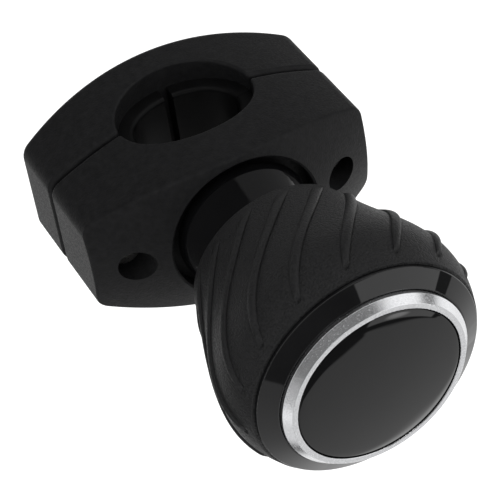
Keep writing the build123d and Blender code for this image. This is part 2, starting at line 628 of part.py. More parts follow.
def make_bezel():
    """The glossy cone around the trim ring, with a flange that is screwed to the core."""
    shelf_z = BEZEL_TOP_Z - TRIM_DEPTH
    with BuildPart() as bezel:
        with BuildSketch(Plane.XZ):
            with BuildLine():
                Polyline(
                    (BEZEL_FLANGE_RADIUS, CORE_FRONT_Z),
                    (GRIP_FRONT_RADIUS - GRIP_THICKNESS - FACE_GAP, CORE_FRONT_Z),
                    (GRIP_FRONT_RADIUS - GRIP_THICKNESS - FACE_GAP, BEZEL_RIM_Z),
                    (BEZEL_RADIUS, BEZEL_RIM_Z),
                    (BEZEL_RADIUS, BEZEL_EDGE_Z),
                    (TRIM_RADIUS, BEZEL_TOP_Z),
                    (TRIM_RADIUS, shelf_z),
                    (TRIM_RADIUS - TRIM_SHELF, shelf_z),
                    (TRIM_RADIUS - TRIM_SHELF, FLANGE_TOP_Z),
                    (BEZEL_FLANGE_RADIUS, FLANGE_TOP_Z),
                    close=True,
                )
            make_face()
        revolve(axis=Axis.Z)
        circles = bezel.edges().filter_by(GeomType.CIRCLE)
        fillet(circles.sort_by(Axis.Z)[-1], radius=BEZEL_INNER_ROUND)
        fillet(circles.sort_by(SortBy.RADIUS)[-2:].sort_by(Axis.Z)[-1], radius=BEZEL_EDGE_ROUND)
        with BuildSketch(Plane.XY.offset(CORE_FRONT_Z)):
            with PolarLocations(BOSS_CIRCLE_RADIUS, BEZEL_SCREW_COUNT):
                Circle(BEZEL_SCREW_RADIUS + BEZEL_SCREW_CLEARANCE)
        extrude(amount=BEZEL_FLANGE_HEIGHT, mode=Mode.SUBTRACT)
    bezel.part.label = "bezel"
    export_step(bezel.part, "parts/bezel.step")


def make_trim_ring():
    """The silver ring. A wall stands up from the bezel, a cone leans in from it, and a flat land surrounds the cap."""
    shelf_z = BEZEL_TOP_Z - TRIM_DEPTH
    outer = TRIM_RADIUS - FACE_GAP / 2
    with BuildPart() as trim_ring:
        with BuildSketch(Plane.XZ):
            with BuildLine():
                Polyline(
                    (TRIM_INNER_RADIUS, shelf_z),
                    (outer, shelf_z),
                    (outer, BEZEL_TOP_Z + TRIM_WALL_RISE),
                    (TRIM_INNER_RADIUS + TRIM_LAND, TRIM_TOP_Z),
                    (TRIM_INNER_RADIUS, TRIM_TOP_Z),
                    close=True,
                )
            make_face()
        revolve(axis=Axis.Z)
        fillet(trim_ring.edges().filter_by(GeomType.CIRCLE).sort_by(Axis.Z)[-3:], radius=TRIM_ROUND)
    trim_ring.part.label = "trim_ring"
    export_step(trim_ring.part, "parts/trim_ring.step")


def make_dome_cap():
    """The glossy domed cap, with a skirt that stands on the bezel's flange and barbed legs that snap under it."""
    edge_z = TRIM_TOP_Z - CAP_EDGE_DROP
    under_z = edge_z - CAP_THICKNESS
    leg_outer = BEZEL_FLANGE_RADIUS - FACE_GAP
    leg_middle = leg_outer - CAP_LEG_THICKNESS / 2
    with BuildPart() as dome_cap:
        with BuildSketch(Plane.XZ):
            with BuildLine():
                crown = ThreePointArc((-CAP_RADIUS, edge_z), (0, edge_z + CAP_RISE), (CAP_RADIUS, edge_z))
                Polyline(crown @ 1, (CAP_RADIUS, under_z), (-CAP_RADIUS, under_z), crown @ 0)
            make_face()
            with Locations((0, under_z)):
                Rectangle(CAP_RADIUS, 2 * BEZEL_TOP_Z, align=(Align.MIN, Align.CENTER), mode=Mode.INTERSECT)
        revolve(axis=Axis.Z)
        rims = dome_cap.edges().sort_by(SortBy.LENGTH)[-2:]
        fillet(rims.sort_by(Axis.Z)[-1], radius=CAP_EDGE_ROUND)
        with BuildSketch(Plane.XY.offset(FLANGE_TOP_Z)):
            Circle(SKIRT_RADIUS)
            Circle(SKIRT_RADIUS - CAP_SKIRT_WALL, mode=Mode.SUBTRACT)
        extrude(amount=under_z - FLANGE_TOP_Z)
        with BuildSketch(Plane.XY.offset(under_z)):
            with PolarLocations(leg_middle, CAP_LEG_COUNT, start_angle=180 / CAP_LEG_COUNT):
                Rectangle(CAP_LEG_THICKNESS, CAP_LEG_WIDTH)
            Circle(leg_outer, mode=Mode.INTERSECT)
        extrude(amount=CORE_FRONT_Z - FACE_GAP - CAP_BARB - under_z)
        with BuildSketch(Plane.XY.offset(CORE_FRONT_Z - FACE_GAP)):
            with PolarLocations(leg_middle + CAP_BARB / 2, CAP_LEG_COUNT, start_angle=180 / CAP_LEG_COUNT):
                Rectangle(CAP_LEG_THICKNESS + CAP_BARB, CAP_LEG_WIDTH)
        extrude(amount=-CAP_BARB, taper=CAP_BARB_TAPER)
    dome_cap.part.label = "dome_cap"
    export_step(dome_cap.part, "parts/dome_cap.step")


def make_bezel_screw(name, angle):
    """A short self-tapping screw with a slotted pan head, which holds the bezel to the core."""
    x = BOSS_CIRCLE_RADIUS * cos(radians(angle))
    y = BOSS_CIRCLE_RADIUS * sin(radians(angle))
    with BuildPart() as bezel_screw:
        with BuildSketch(Plane.XY.offset(FLANGE_TOP_Z)):
            with Locations((x, y)):
                Circle(BEZEL_SCREW_HEAD_RADIUS)
        extrude(amount=BEZEL_SCREW_HEAD_HEIGHT)
        fillet(bezel_screw.edges().sort_by(Axis.Z)[-1], radius=BEZEL_SCREW_HEAD_HEIGHT / 2)
        with BuildSketch(Plane.XY.offset(FLANGE_TOP_Z)):
            with Locations((x, y)):
                Circle(BEZEL_SCREW_RADIUS - SLIDE_CLEARANCE)
        extrude(amount=-(BEZEL_SCREW_LENGTH - FACE_GAP))
        with BuildSketch(Plane.XY.offset(FLANGE_TOP_Z + BEZEL_SCREW_HEAD_HEIGHT)):
            with Locations((x, y)):
                Rectangle(2 * BEZEL_SCREW_HEAD_RADIUS, BEZEL_SCREW_SLOT)
        extrude(amount=-BEZEL_SCREW_SLOT_DEPTH, mode=Mode.SUBTRACT)
    bezel_screw.part.label = name
    export_step(bezel_screw.part, f"parts/{name}.step")


make_clamp_base()
make_clamp_cap()
for side_name, side_sign in SIDES:
    make_rim_pad(f"base_pad_{side_name}", side_sign, 1)
    make_rim_pad(f"cap_pad_{side_name}", side_sign, -1)
    make_clamp_screw(f"clamp_screw_{side_name}", side_sign)
    make_spring_washer(f"spring_washer_{side_name}", side_sign)
    make_clamp_nut(f"clamp_nut_{side_name}", side_sign)
make_spindle()
make_tube("lower_shim", RECESS_FLOOR_Z, SHIM_THICKNESS, SHIM_RADIUS)
make_tube("race_spacer", LOWER_BEARING_Z + BEARING_WIDTH, BEARING_SPREAD, SPACER_RADIUS)
make_tube("upper_shim", BEARING_TOP_Z, SHIM_THICKNESS, SHIM_RADIUS)
make_lock_nut()
make_nylon_ring()
for level_name, level_z in (("lower", LOWER_BEARING_Z), ("upper", UPPER_BEARING_Z)):
    make_race(f"{level_name}_inner_race", SPINDLE_RADIUS + SLIDE_CLEARANCE, INNER_RACE_RADIUS, level_z)
    make_race(f"{level_name}_outer_race", OUTER_RACE_BORE_RADIUS, BEARING_RADIUS, level_z)
    make_balls(f"{level_name}_balls", level_z)
    make_cage(f"{level_name}_cage", level_z)
make_grip()
make_knob_core()
make_bezel()
make_trim_ring()
make_dome_cap()
for number in range(BEZEL_SCREW_COUNT):
    make_bezel_screw(f"bezel_screw_{number + 1}", 360 / BEZEL_SCREW_COUNT * number)
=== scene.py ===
# %% [markdown]
# # A steering wheel spinner knob
#
# A spinner knob is a small handle that is clamped to the rim of a steering wheel, so that one hand can turn
# the wheel quickly. This lesson dresses its measured model. The pieces already have their real size and
# place, in metres. The knob's axis is Z, the wheel's rim runs along Y, and a clamp screw stands on either
# side of the knob, along X.
#
# We start by loading the pieces.

# %% Load the pieces
import json
from math import cos, degrees, pi, radians, sin, sqrt

import bmesh
import bpy
import numpy as np
from mathutils import Matrix, Vector


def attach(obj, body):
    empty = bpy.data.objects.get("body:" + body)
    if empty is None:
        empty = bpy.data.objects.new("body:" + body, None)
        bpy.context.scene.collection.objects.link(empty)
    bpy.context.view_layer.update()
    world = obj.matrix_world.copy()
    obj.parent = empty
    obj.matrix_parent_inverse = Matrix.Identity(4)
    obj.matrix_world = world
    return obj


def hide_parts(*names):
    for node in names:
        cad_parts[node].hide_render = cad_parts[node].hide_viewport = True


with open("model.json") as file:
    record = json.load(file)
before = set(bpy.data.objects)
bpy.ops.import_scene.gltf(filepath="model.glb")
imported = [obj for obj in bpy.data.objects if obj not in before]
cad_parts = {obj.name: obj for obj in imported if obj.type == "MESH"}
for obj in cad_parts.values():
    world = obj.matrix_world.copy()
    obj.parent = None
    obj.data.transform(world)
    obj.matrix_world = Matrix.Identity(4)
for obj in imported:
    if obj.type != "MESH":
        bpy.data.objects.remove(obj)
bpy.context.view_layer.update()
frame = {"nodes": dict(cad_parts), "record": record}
nodes = frame["nodes"]
MM = 0.001  # lengths are written in millimetres and multiplied by this

# %% [markdown]
# ## Camera
#
# The knob is photographed from above and to one side with a long lens, so there is little perspective. We
# could aim the camera by eye, but a long lens shows small errors of angle plainly. So the camera gets a
# measured place and two measured directions: the one that points back at it, and the one that is up in the
# picture. The third direction is square to both.

# %% Place the camera
CAMERA_PLACE = Vector((-123.97, 301.50, 324.47)) * MM
CAMERA_TOWARD = Vector((-0.276438, 0.688423, 0.670564))
CAMERA_UP = Vector((0.402210, 0.716582, -0.569857))
FOCAL_LENGTH = 151.2
SENSOR_WIDTH = 36.0
NEAREST_SHOWN = 0.01
FARTHEST_SHOWN = 20


def add_camera():
    """The camera of the main picture."""
    right = CAMERA_UP.cross(CAMERA_TOWARD)
    turn = Matrix((right, CAMERA_UP, CAMERA_TOWARD)).transposed().to_4x4()
    data = bpy.data.cameras.new("camera")
    data.lens = FOCAL_LENGTH
    data.sensor_width = SENSOR_WIDTH
    data.clip_start = NEAREST_SHOWN
    data.clip_end = FARTHEST_SHOWN
    camera = bpy.data.objects.new("camera", data)
    camera.matrix_world = Matrix.Translation(CAMERA_PLACE) @ turn
    bpy.context.scene.collection.objects.link(camera)
    bpy.context.scene.camera = camera
    return camera


camera = add_camera()
print("camera distance from the origin:", round(camera.location.length / MM), "mm")

# %% [markdown]
# ## Light and reflection
#
# Black things are hard to light, because most of what we see on them is reflection. We could stand real
# lamps and white cards around the knob, but then every change to a reflection would change the light as
# well. So we treat the two apart. Light comes evenly from all around and from three faint lamps.
# Reflections see something else: a white tent with windows, and a sheet of paper below it.
#
# Floor and tent are built from the same few helpers: one mixes two surfaces, one multiplies, one fades
# softly between two levels, and one measures how far something lies along a vector.

# %% Helpers for floor and tent
def mix_by(tree, factor, first, second):
    """One surface or the other, by a factor of 0 to 1."""
    mix = tree.nodes.new("ShaderNodeMixShader")
    tree.links.new(factor, mix.inputs[0])
    tree.links.new(first, mix.inputs[1])
    tree.links.new(second, mix.inputs[2])
    return mix.outputs[0]


def product(tree, first, second):
    """Two node values multiplied."""
    times = tree.nodes.new("ShaderNodeMath")
    times.operation = "MULTIPLY"
    tree.links.new(first, times.inputs[0])
    tree.links.new(second, times.inputs[1])
    return times.outputs[0]


def fade_along(tree, value, ends, levels):
    """A soft change from one level to another as the value runs from end to end."""
    fade = tree.nodes.new("ShaderNodeMapRange")
    fade.interpolation_type = "SMOOTHSTEP"
    fade.inputs["From Min"].default_value, fade.inputs["From Max"].default_value = ends
    fade.inputs["To Min"].default_value, fade.inputs["To Max"].default_value = levels
    tree.links.new(value, fade.inputs["Value"])
    return fade.outputs["Result"]


def along_vector(tree, place, vector):
    """How far a place or a ray lies along this vector."""
    dot = tree.nodes.new("ShaderNodeVectorMath")
    dot.operation = "DOT_PRODUCT"
    tree.links.new(place, dot.inputs[0])
    dot.inputs[1].default_value = vector
    return dot.outputs["Value"]


# %% [markdown]
# ## The floor
#
# The knob is shown on a plain white ground. A white floor well below it keeps its shadow soft. The white
# comes from the floor's colour, with a little glow that only the camera sees, so the glow never lights the
# knob.
#
# The neck leans back, so it mirrors the paper in front of the knob, and on the real one it shows dark at
# the left and grey at the right. A plain white floor would make it white all round. So reflections see the
# floor as paper of three levels: bright behind the knob, dim in front of it, and dark at the left.

# %% Make the paper that the camera sees
FLOOR_WHITE = 0.80
FLOOR_GLOW = 0.45


def white_paper(tree, paths):
    """Matte white paper, with a glow that only the camera sees."""
    paint = tree.nodes.new("ShaderNodeBsdfDiffuse")
    paint.inputs["Color"].default_value = (FLOOR_WHITE, FLOOR_WHITE, FLOOR_WHITE, 1)
    strength = tree.nodes.new("ShaderNodeMath")
    strength.operation = "MULTIPLY"
    strength.inputs[1].default_value = FLOOR_GLOW
    tree.links.new(paths.outputs["Is Camera Ray"], strength.inputs[0])
    glow = tree.nodes.new("ShaderNodeEmission")
    tree.links.new(strength.outputs[0], glow.inputs["Strength"])
    both = tree.nodes.new("ShaderNodeAddShader")
    tree.links.new(paint.outputs[0], both.inputs[0])
    tree.links.new(glow.outputs[0], both.inputs[1])
    return both.outputs[0]


# %% Make the paper that reflections see
MIRRORED_FAR = 1.02
MIRRORED_NEAR = (0.05, 0.28)  # at the left and at the right
DIM_SIDE_FACES = (0.991, -0.131, 0)
NEAR_SIDE_FACES = (0.1, 1, 0)
LEFT_SIDE_FACES = (-1, 0, 0)
# where each change of level starts and ends, in metres along those vectors
MIRRORED_ACROSS = (-0.06, 0.06)
MIRRORED_ALONG = (-0.08, 0.10)
MIRRORED_LEFT = (0.12, 0.24)


def mirrored_paper(tree):
    """The paper as reflections see it: bright behind the knob, dim in front of it and dark at the left."""
    place = tree.nodes.new("ShaderNodeNewGeometry").outputs["Position"]
    near = fade_along(tree, along_vector(tree, place, DIM_SIDE_FACES), MIRRORED_ACROSS, MIRRORED_NEAR)
    behind = fade_along(tree, along_vector(tree, place, NEAR_SIDE_FACES), MIRRORED_ALONG, (1, 0))
    not_left = fade_along(tree, along_vector(tree, place, LEFT_SIDE_FACES), MIRRORED_LEFT, (1, 0))
    level = tree.nodes.new("ShaderNodeMix")
    tree.links.new(product(tree, behind, not_left), level.inputs["Factor"])
    tree.links.new(near, level.inputs["A"])
    level.inputs["B"].default_value = MIRRORED_FAR
    glow = tree.nodes.new("ShaderNodeEmission")
    tree.links.new(level.outputs["Result"], glow.inputs["Strength"])
    return glow.outputs[0]


# %% Lay the floor
FLOOR_Z = -150 * MM
FLOOR_HALF = 3.0


def add_floor():
    """A wide white floor that keeps the shadow and shows white to the camera."""
    mesh = bpy.data.meshes.new("floor")
    half = FLOOR_HALF
    corners = [(-half, -half), (half, -half), (half, half), (-half, half)]
    mesh.from_pydata([(x, y, FLOOR_Z) for x, y in corners], [], [(0, 1, 2, 3)])
    floor = bpy.data.objects.new("floor", mesh)
    bpy.context.scene.collection.objects.link(floor)
    material = bpy.data.materials.new("white_floor")
    material.use_nodes = True
    tree = material.node_tree
    tree.nodes.clear()
    paths = tree.nodes.new("ShaderNodeLightPath")
    paper = mix_by(tree, paths.outputs["Is Glossy Ray"], white_paper(tree, paths), mirrored_paper(tree))
    tree.links.new(paper, tree.nodes.new("ShaderNodeOutputMaterial").inputs["Surface"])
    mesh.materials.append(material)
    return floor


floor = add_floor()
print("floor at", round(floor.data.vertices[0].co.z / MM), "mm")

# %% [markdown]
# ## Lamps
#
# The knob was lit softly, with no hard shadow anywhere. One strong lamp would throw such a shadow, so three
# large faint ones give the round forms a little shape. They are kept out of the reflections, where they
# would show as hard white squares.

# %% Hang the lamps
LAMPS = (
    # name, place in metres, width and height in metres, power in watts
    ("key", (-0.55, -0.10, 0.75), (0.60, 0.60), 0.8),
    ("rim", (0.60, -0.55, 0.35), (0.50, 0.90), 1.2),
    ("fill", (0.15, 0.80, 0.55), (0.90, 0.60), 1.3),
)
KNOB_MIDDLE = Vector((0, 0, 0.04))


def add_lamp(name, place, size, power):
    """A soft rectangular lamp that faces the knob and isn't mirrored in it."""
    data = bpy.data.lights.new(name, "AREA")
    data.shape = "RECTANGLE"
    data.size, data.size_y = size
    data.energy = power
    lamp = bpy.data.objects.new(name, data)
    lamp.location = place
    lamp.rotation_euler = (KNOB_MIDDLE - lamp.location).to_track_quat("-Z", "Y").to_euler()
    lamp.visible_glossy = False
    bpy.context.scene.collection.objects.link(lamp)
    return lamp


for lamp_name, lamp_place, lamp_size, lamp_power in LAMPS:
    add_lamp(lamp_name, lamp_place, lamp_size, lamp_power)
bpy.context.scene.view_settings.view_transform = "Standard"
print(len(LAMPS), "lamps")

# %% [markdown]
# ## The tent
#
# The cap, the bezel and the neck are near perfect mirrors, so what they mirror is half of their look. On
# the real knob they show a white room that is paler at one side. A dark opening is above the knob, with a
# pale panel beside it, and the panel's dark frame shows as a thin seam.
#
# A picture of a studio would give that too, but here each thing has a name and can be moved. A window is a
# shape on a ceiling one unit above the knob. Each of its sides is a straight line there, given by a heading
# and by how far along that heading the line lies, and the window is on the far side of it. Seen from the
# knob such a line is a plane, so one dot product tells on which side of it a ray passes.
#
# Some things are simply round, such as a lamp or the dim room behind the camera. The last one is a low pale
# wall, which the thin rounded edges pick up as a fine bright line.

# %% Measure directions in the tent
def direction(azimuth, height):
    """The direction at this azimuth and height above the horizon, in degrees."""
    flat = cos(radians(height))
    return (flat * cos(radians(azimuth)), flat * sin(radians(azimuth)), sin(radians(height)))


def facing(tree, toward):
    """How far a ray runs along this vector."""
    return along_vector(tree, tree.nodes["Texture Coordinate"].outputs["Generated"], toward)


def lay_over(tree, white, inside, brightness):
    """The tent's white, with this brightness wherever inside is 1."""
    over = tree.nodes.new("ShaderNodeMix")
    tree.links.new(inside, over.inputs["Factor"])
    tree.links.new(white, over.inputs["A"])
    over.inputs["B"].default_value = brightness
    return over.outputs["Result"]


print("straight up is", [round(part, 3) for part in direction(azimuth=0, height=90)])

# %% Cut the windows
CEILING_WINDOWS = (
    # name, brightness, then the heading and the distance of each side
    ("dark frame", 0.12, ((4.8, 0.25), (59, -0.378), (97.6, -0.998), (287, -1.0))),
    ("pale panel", 1.20, ((4.8, 0.29), (52.4, -0.233), (123.5, -1.133), (287, -1.0))),
    ("dark opening", 0.12, ((17, -0.615), (184.8, -0.2925), (115.4, -0.768), (287, -0.50))),
)
WINDOW_EDGE = 0.010


def inside_window(tree, sides):
    """1 for rays that pass inside every side of a window."""
    inside = None
    for heading, distance in sides:
        x, y, _ = direction(heading, 0)
        side = fade_along(tree, facing(tree, (x, y, -distance)), (-WINDOW_EDGE, WINDOW_EDGE), (0, 1))
        inside = side if inside is None else product(tree, inside, side)
    return inside


print("windows:", ", ".join(name for name, _, _ in CEILING_WINDOWS))

# %% Place the round spots
SPOTS = (
    # name, azimuth and height of the middle, radius and soft edge in degrees, brightness
    ("room behind the camera", (118, 30), 52, 14, 0.20),
    ("softbox above the camera", (112, 66), 9, 6, 3.0),
    ("low lamp behind the knob", (-66, 5), 14, 8, 2.1),
    ("glint on the panel", (-49, 52), 2.2, 3.0, 3.2),
)


def inside_disc(tree, middle, radius, edge):
    """1 within this many degrees of a direction and 0 outside, with a soft edge."""
    ends = (cos(radians(radius + edge / 2)), cos(radians(radius - edge / 2)))
    return fade_along(tree, facing(tree, direction(*middle)), ends, (0, 1))


print("spots:", ", ".join(spot[0] for spot in SPOTS))

# %% Build the low wall
LOW_WALL_FACES = 130  # its azimuth in degrees
LOW_WALL_HEIGHTS = (3, 15)
LOW_WALL_WHITE = 1.8
# half the width of each soft edge, on a ray of length one
LOW_WALL_FOOT_EDGE = 0.02
LOW_WALL_TOP_EDGE = 0.04
LOW_WALL_END_EDGE = 0.2


def inside_low_wall(tree):
    """1 on a low wall along the near side of the tent, with soft edges all round."""
    rise = facing(tree, (0, 0, 1))
    foot, top = (sin(radians(height)) for height in LOW_WALL_HEIGHTS)
    above = fade_along(tree, rise, (foot - LOW_WALL_FOOT_EDGE, foot + LOW_WALL_FOOT_EDGE), (0, 1))
    below = fade_along(tree, rise, (top - LOW_WALL_TOP_EDGE, top + LOW_WALL_TOP_EDGE), (1, 0))
    toward = facing(tree, direction(LOW_WALL_FACES, 0))
    near = fade_along(tree, toward, (-LOW_WALL_END_EDGE, LOW_WALL_END_EDGE), (0, 1))
    return product(tree, product(tree, above, below), near)


print("the low wall stands", LOW_WALL_HEIGHTS[0], "to", LOW_WALL_HEIGHTS[1], "degrees above the horizon")

# %% Put up the tent
AIR_STRENGTH = 0.80
TENT_FLOOR_TO_TOP = (1.0, 0.68)  # brightness at the horizon and at the top
TENT_TOP_FROM = 0.45  # how high a ray of length one must rise to reach the top's brightness
TENT_SIDES = (0.62, 1.18)  # times this at the other side and at the pale side
TENT_PALE_SIDE = -30  # its azimuth in degrees


def put_up_tent():
    """The world: even air light for matte surfaces, and the tent for reflections."""
    world = bpy.data.worlds.new("tent")
    world.use_nodes = True
    tree = world.node_tree
    tree.nodes.new("ShaderNodeTexCoord")
    height = fade_along(tree, facing(tree, (0, 0, 1)), (0, TENT_TOP_FROM), TENT_FLOOR_TO_TOP)
    side = fade_along(tree, facing(tree, direction(TENT_PALE_SIDE, 0)), (-1, 1), TENT_SIDES)
    white = product(tree, height, side)
    for _, brightness, sides in CEILING_WINDOWS:
        white = lay_over(tree, white, inside_window(tree, sides), brightness)
    for _, middle, radius, edge, brightness in SPOTS:
        white = lay_over(tree, white, inside_disc(tree, middle, radius, edge), brightness)
    white = lay_over(tree, white, inside_low_wall(tree), LOW_WALL_WHITE)
    air = tree.nodes["Background"]
    air.inputs["Color"].default_value = (1, 1, 1, 1)
    is_matte = tree.nodes.new("ShaderNodeLightPath").outputs["Is Diffuse Ray"]
    tree.links.new(lay_over(tree, white, is_matte, AIR_STRENGTH), air.inputs["Strength"])
    bpy.context.scene.world = world
    return tree


tent = put_up_tent()
print("the tent has", len(tent.nodes), "nodes")

# %% [markdown]
# ## Helpers for finishes
#
# Every finish here is a Principled shader with a few nodes in front of it. We could paint pictures of the
# grain, but then each piece would have to be unfolded for them. Noise needs nothing of the kind. The pieces
# sit at their real place, so the Object coordinate is the place in metres, and a noise scale of 1 over a
# grain's size gives grains of that size. Blender's noise hardly leaves the range of 0.3 to 0.7, so that
# range is what we spread.

# %% Start a material
def start_finish(name, color, roughness, specular=0.5, metallic=0.0):
    """A named Principled material. Returns it with its tree, shader and place coordinates."""
    material = bpy.data.materials.new(name)
    material.use_nodes = True
    tree = material.node_tree
    shader = tree.nodes["Principled BSDF"]
    shader.inputs["Base Color"].default_value = (*color, 1)
    shader.inputs["Roughness"].default_value = roughness
    shader.inputs["Specular IOR Level"].default_value = specular
    shader.inputs["Metallic"].default_value = metallic
    place = tree.nodes.new("ShaderNodeTexCoord").outputs["Object"]
    return material, tree, shader, place


# %% Make noise and spread it
NOISE_LOW = 0.3
NOISE_HIGH = 0.7


def grain_noise(tree, place, grain_mm, detail=2.0):
    """Soft noise whose blotches are about this many millimetres across."""
    noise = tree.nodes.new("ShaderNodeTexNoise")
    noise.inputs["Scale"].default_value = 1 / (grain_mm * MM)
    noise.inputs["Detail"].default_value = detail
    tree.links.new(place, noise.inputs["Vector"])
    return noise.outputs["Fac"]


def remap(tree, value, low, high):
    """Spreads a noise over this range."""
    spread = tree.nodes.new("ShaderNodeMapRange")
    spread.inputs["From Min"].default_value = NOISE_LOW
    spread.inputs["From Max"].default_value = NOISE_HIGH
    spread.inputs["To Min"].default_value = low
    spread.inputs["To Max"].default_value = high
    tree.links.new(value, spread.inputs["Value"])
    return spread.outputs["Result"]


def tint(tree, value, dark, light):
    """A colour that runs from dark to light with a noise."""
    ramp = tree.nodes.new("ShaderNodeValToRGB")
    ramp.color_ramp.elements[0].position = NOISE_LOW
    ramp.color_ramp.elements[0].color = (*dark, 1)
    ramp.color_ramp.elements[1].position = NOISE_HIGH
    ramp.color_ramp.elements[1].color = (*light, 1)
    tree.links.new(value, ramp.inputs["Fac"])
    return ramp.outputs["Color"]


# %% Raise bumps
def raise_bumps(tree, height, depth_mm, strength=1.0, under=None):
    """Bumps of this depth in millimetres, laid over other bumps if there are any."""
    bump = tree.nodes.new("ShaderNodeBump")
    bump.inputs["Distance"].default_value = depth_mm * MM
    bump.inputs["Strength"].default_value = strength
    tree.links.new(height, bump.inputs["Height"])
    if under is not None:
        tree.links.new(under, bump.inputs["Normal"])
    return bump.outputs["Normal"]


# %% [markdown]
# ## Moulded plastic of the clamp
#
# The clamp's halves are moulded from a glass filled plastic, in a mould whose walls were spark eroded. That
# leaves a fine even grain, matte but not dead. We could sculpt the grain, but it is about half a millimetre
# wide and far less deep, so a bump does it. Two grains lie over each other, because one alone looks like a
# pattern.

# %% Make the clamp's plastic
CLAMP_BLACK = (0.0115, 0.0115, 0.012)
CLAMP_DARK, CLAMP_LIGHT = (0.0090, 0.0090, 0.0095), (0.0138, 0.0138, 0.0144)


def make_clamp_plastic():
    """Matte black with a fine eroded grain and a slight mottle."""
    material, tree, shader, place = start_finish("clamp_plastic", CLAMP_BLACK, 0.48, specular=0.10)
    speck = grain_noise(tree, place, grain_mm=0.45, detail=3.0)
    mottle = grain_noise(tree, place, grain_mm=1.4, detail=6.0)
    tree.links.new(tint(tree, mottle, CLAMP_DARK, CLAMP_LIGHT), shader.inputs["Base Color"])
    tree.links.new(remap(tree, speck, low=0.38, high=0.58), shader.inputs["Roughness"])
    coarse = raise_bumps(tree, grain_noise(tree, place, grain_mm=0.9), depth_mm=0.05, strength=0.6)
    fine = raise_bumps(tree, speck, depth_mm=0.06, strength=0.9, under=coarse)
    tree.links.new(fine, shader.inputs["Normal"])
    return material


clamp_plastic = make_clamp_plastic()
print(clamp_plastic.name, "has", len(clamp_plastic.node_tree.nodes), "nodes")

# %% [markdown]
# ## Rubber of the rim pads
#
# The pads line the bore that holds the wheel's rim. They are soft rubber with less grain than the clamp.
# Their black is darker than the clamp's, partly as rubber and partly as painted shade for the inside of the
# bore.
# The clamp's finish would nearly do, but the two lie side by side at the mouth of the bore. So the pads get
# a finish of their own, with broad clouds in place of specks.

# %% Make the pads' rubber
# the pads' black and its cloud tones are deepened as painted shade for the inside of the bore
PAD_BLACK_WITH_SHADE = (0.0036, 0.0036, 0.0038)
PAD_DARK_WITH_SHADE, PAD_LIGHT_WITH_SHADE = (0.0030, 0.0030, 0.0032), (0.0042, 0.0042, 0.0044)


def make_pad_rubber():
    """Deep black rubber with a dull skin, its black deepened as painted shade for the inside of the bore.
    """
    material, tree, shader, place = start_finish("pad_rubber", PAD_BLACK_WITH_SHADE, roughness=0.45, specular=0.12)
    cloud = grain_noise(tree, place, grain_mm=4.0)
    tree.links.new(tint(tree, cloud, PAD_DARK_WITH_SHADE, PAD_LIGHT_WITH_SHADE), shader.inputs["Base Color"])
    tree.links.new(remap(tree, cloud, low=0.38, high=0.52), shader.inputs["Roughness"])
    fine = raise_bumps(tree, grain_noise(tree, place, grain_mm=0.3), depth_mm=0.02, strength=0.6)
    tree.links.new(fine, shader.inputs["Normal"])
    return material


pad_rubber = make_pad_rubber()
print(pad_rubber.name, "has", len(pad_rubber.node_tree.nodes), "nodes")

# %% [markdown]
# ## Polished black mouldings
#
# The neck, the bezel and the domed cap come from polished moulds. They are almost true mirrors with very
# little colour of their own. A plain dark shader would do that, but its reflections would look cut out of
# paper. So a faint waviness bends them a little. The cap is the smoothest, because its broad face would
# show any wave.

# %% Make the polished blacks
GLOSS_DARK, GLOSS_LIGHT = (0.0025, 0.0025, 0.0028), (0.004, 0.004, 0.0044)
CAP_DARK, CAP_LIGHT = (0.0008, 0.0008, 0.001), (0.0016, 0.0016, 0.0019)
HAZE_MM = 6.0
HAZE_CLEAREST, HAZE_DULLEST = 0.8, 1.3  # shares of the roughness
WAVE_MM = 5.0


def make_polished_black(name, dark, light, roughness, wave_depth_mm, specular=0.5):
    """Deep black with a polished, very slightly wavy skin."""
    material, tree, shader, place = start_finish(name, light, roughness, specular=specular)
    haze = grain_noise(tree, place, HAZE_MM, detail=4.0)
    tree.links.new(tint(tree, haze, dark, light), shader.inputs["Base Color"])
    rough = remap(tree, haze, roughness * HAZE_CLEAREST, roughness * HAZE_DULLEST)
    tree.links.new(rough, shader.inputs["Roughness"])
    waves = raise_bumps(tree, grain_noise(tree, place, WAVE_MM), wave_depth_mm, strength=0.5)
    tree.links.new(waves, shader.inputs["Normal"])
    return material


gloss_black = make_polished_black(
    "gloss_black", GLOSS_DARK, GLOSS_LIGHT, roughness=0.025, wave_depth_mm=0.004
)
cap_gloss = make_polished_black(
    "cap_gloss", CAP_DARK, CAP_LIGHT, roughness=0.015, wave_depth_mm=0.002, specular=0.45
)
print("polished blacks:", gloss_black.name, "and", cap_gloss.name)

# %% [markdown]
# ## Metals
#
# The trim ring is satin plated. The screws, nuts and shims are zinc plated steel, and the bearings' races
# and balls are ground bright. Real metal is never one even grey, so a noise drives the colour, the
# roughness and the bumps together. The metals differ only in numbers, so one helper makes them all from a
# table.

# %% Make the metals
METALS = (
    # name, dark and light tone, roughness, size and depth of the grain in millimetres
    ("trim_silver", (0.66, 0.665, 0.68), (0.82, 0.825, 0.84), 0.22, 0.30, 0.012),
    ("screw_steel", (0.50, 0.50, 0.48), (0.66, 0.66, 0.64), 0.32, 0.5, 0.01),
    ("bearing_steel", (0.66, 0.66, 0.67), (0.74, 0.74, 0.75), 0.15, 1.0, 0.002),
    ("cage_steel", (0.50, 0.49, 0.46), (0.60, 0.58, 0.55), 0.35, 0.6, 0.006),
)
METAL_BRIGHTEST, METAL_DULLEST = 0.8, 1.25  # shares of the roughness


